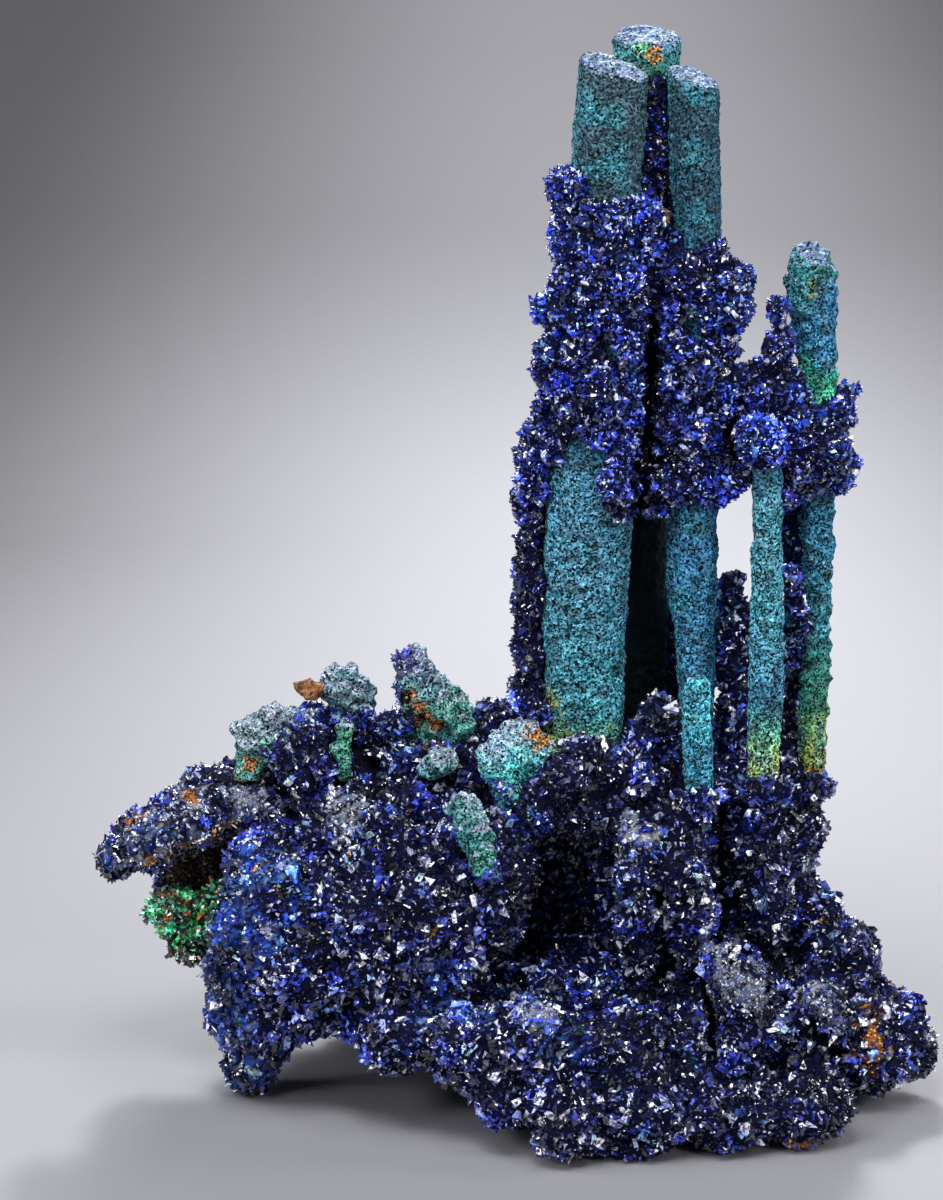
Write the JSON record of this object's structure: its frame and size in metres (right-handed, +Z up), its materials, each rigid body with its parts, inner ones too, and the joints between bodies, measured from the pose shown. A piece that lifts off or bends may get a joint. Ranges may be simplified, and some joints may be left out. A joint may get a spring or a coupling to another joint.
{
  "type": "azurite and malachite specimen",
  "caption": "Mineral specimen: tall malachite stalactites, crusted with dark blue azurite, rising from a broad azurite-covered matrix that stands on a flat cut.",
  "frame": {"origin": "bottom centre of the specimen's box, on the flat cut that it stands on", "axes": "+Z up along the stalactites, -Y towards the front, +X to the right seen from the front"},
  "size_m": [0.1392, 0.0736, 0.1734],
  "materials": {
    "azurite": "drusy crystals, glassy facets on deep blue",
    "malachite": "fine velvety grains, dull blue-green",
    "malachite_crystals": "small bright green crystals"
  },
  "bodies": {
    "root": {"azurite_matrix": "azurite", "azurite_crown": "azurite", "column_broad": "malachite", "column_middle": "malachite", "column_back": "malachite", "column_slender": "malachite", "column_right": "malachite", "column_stub": "malachite", "malachite_knob_low": "malachite", "malachite_knob_high": "malachite", "malachite_strip": "malachite", "malachite_crag": "malachite", "malachite_bud": "malachite", "malachite_saddle": "malachite", "malachite_finger": "malachite", "malachite_cavity_crystals": "malachite_crystals"}
  },
  "joints": []
}
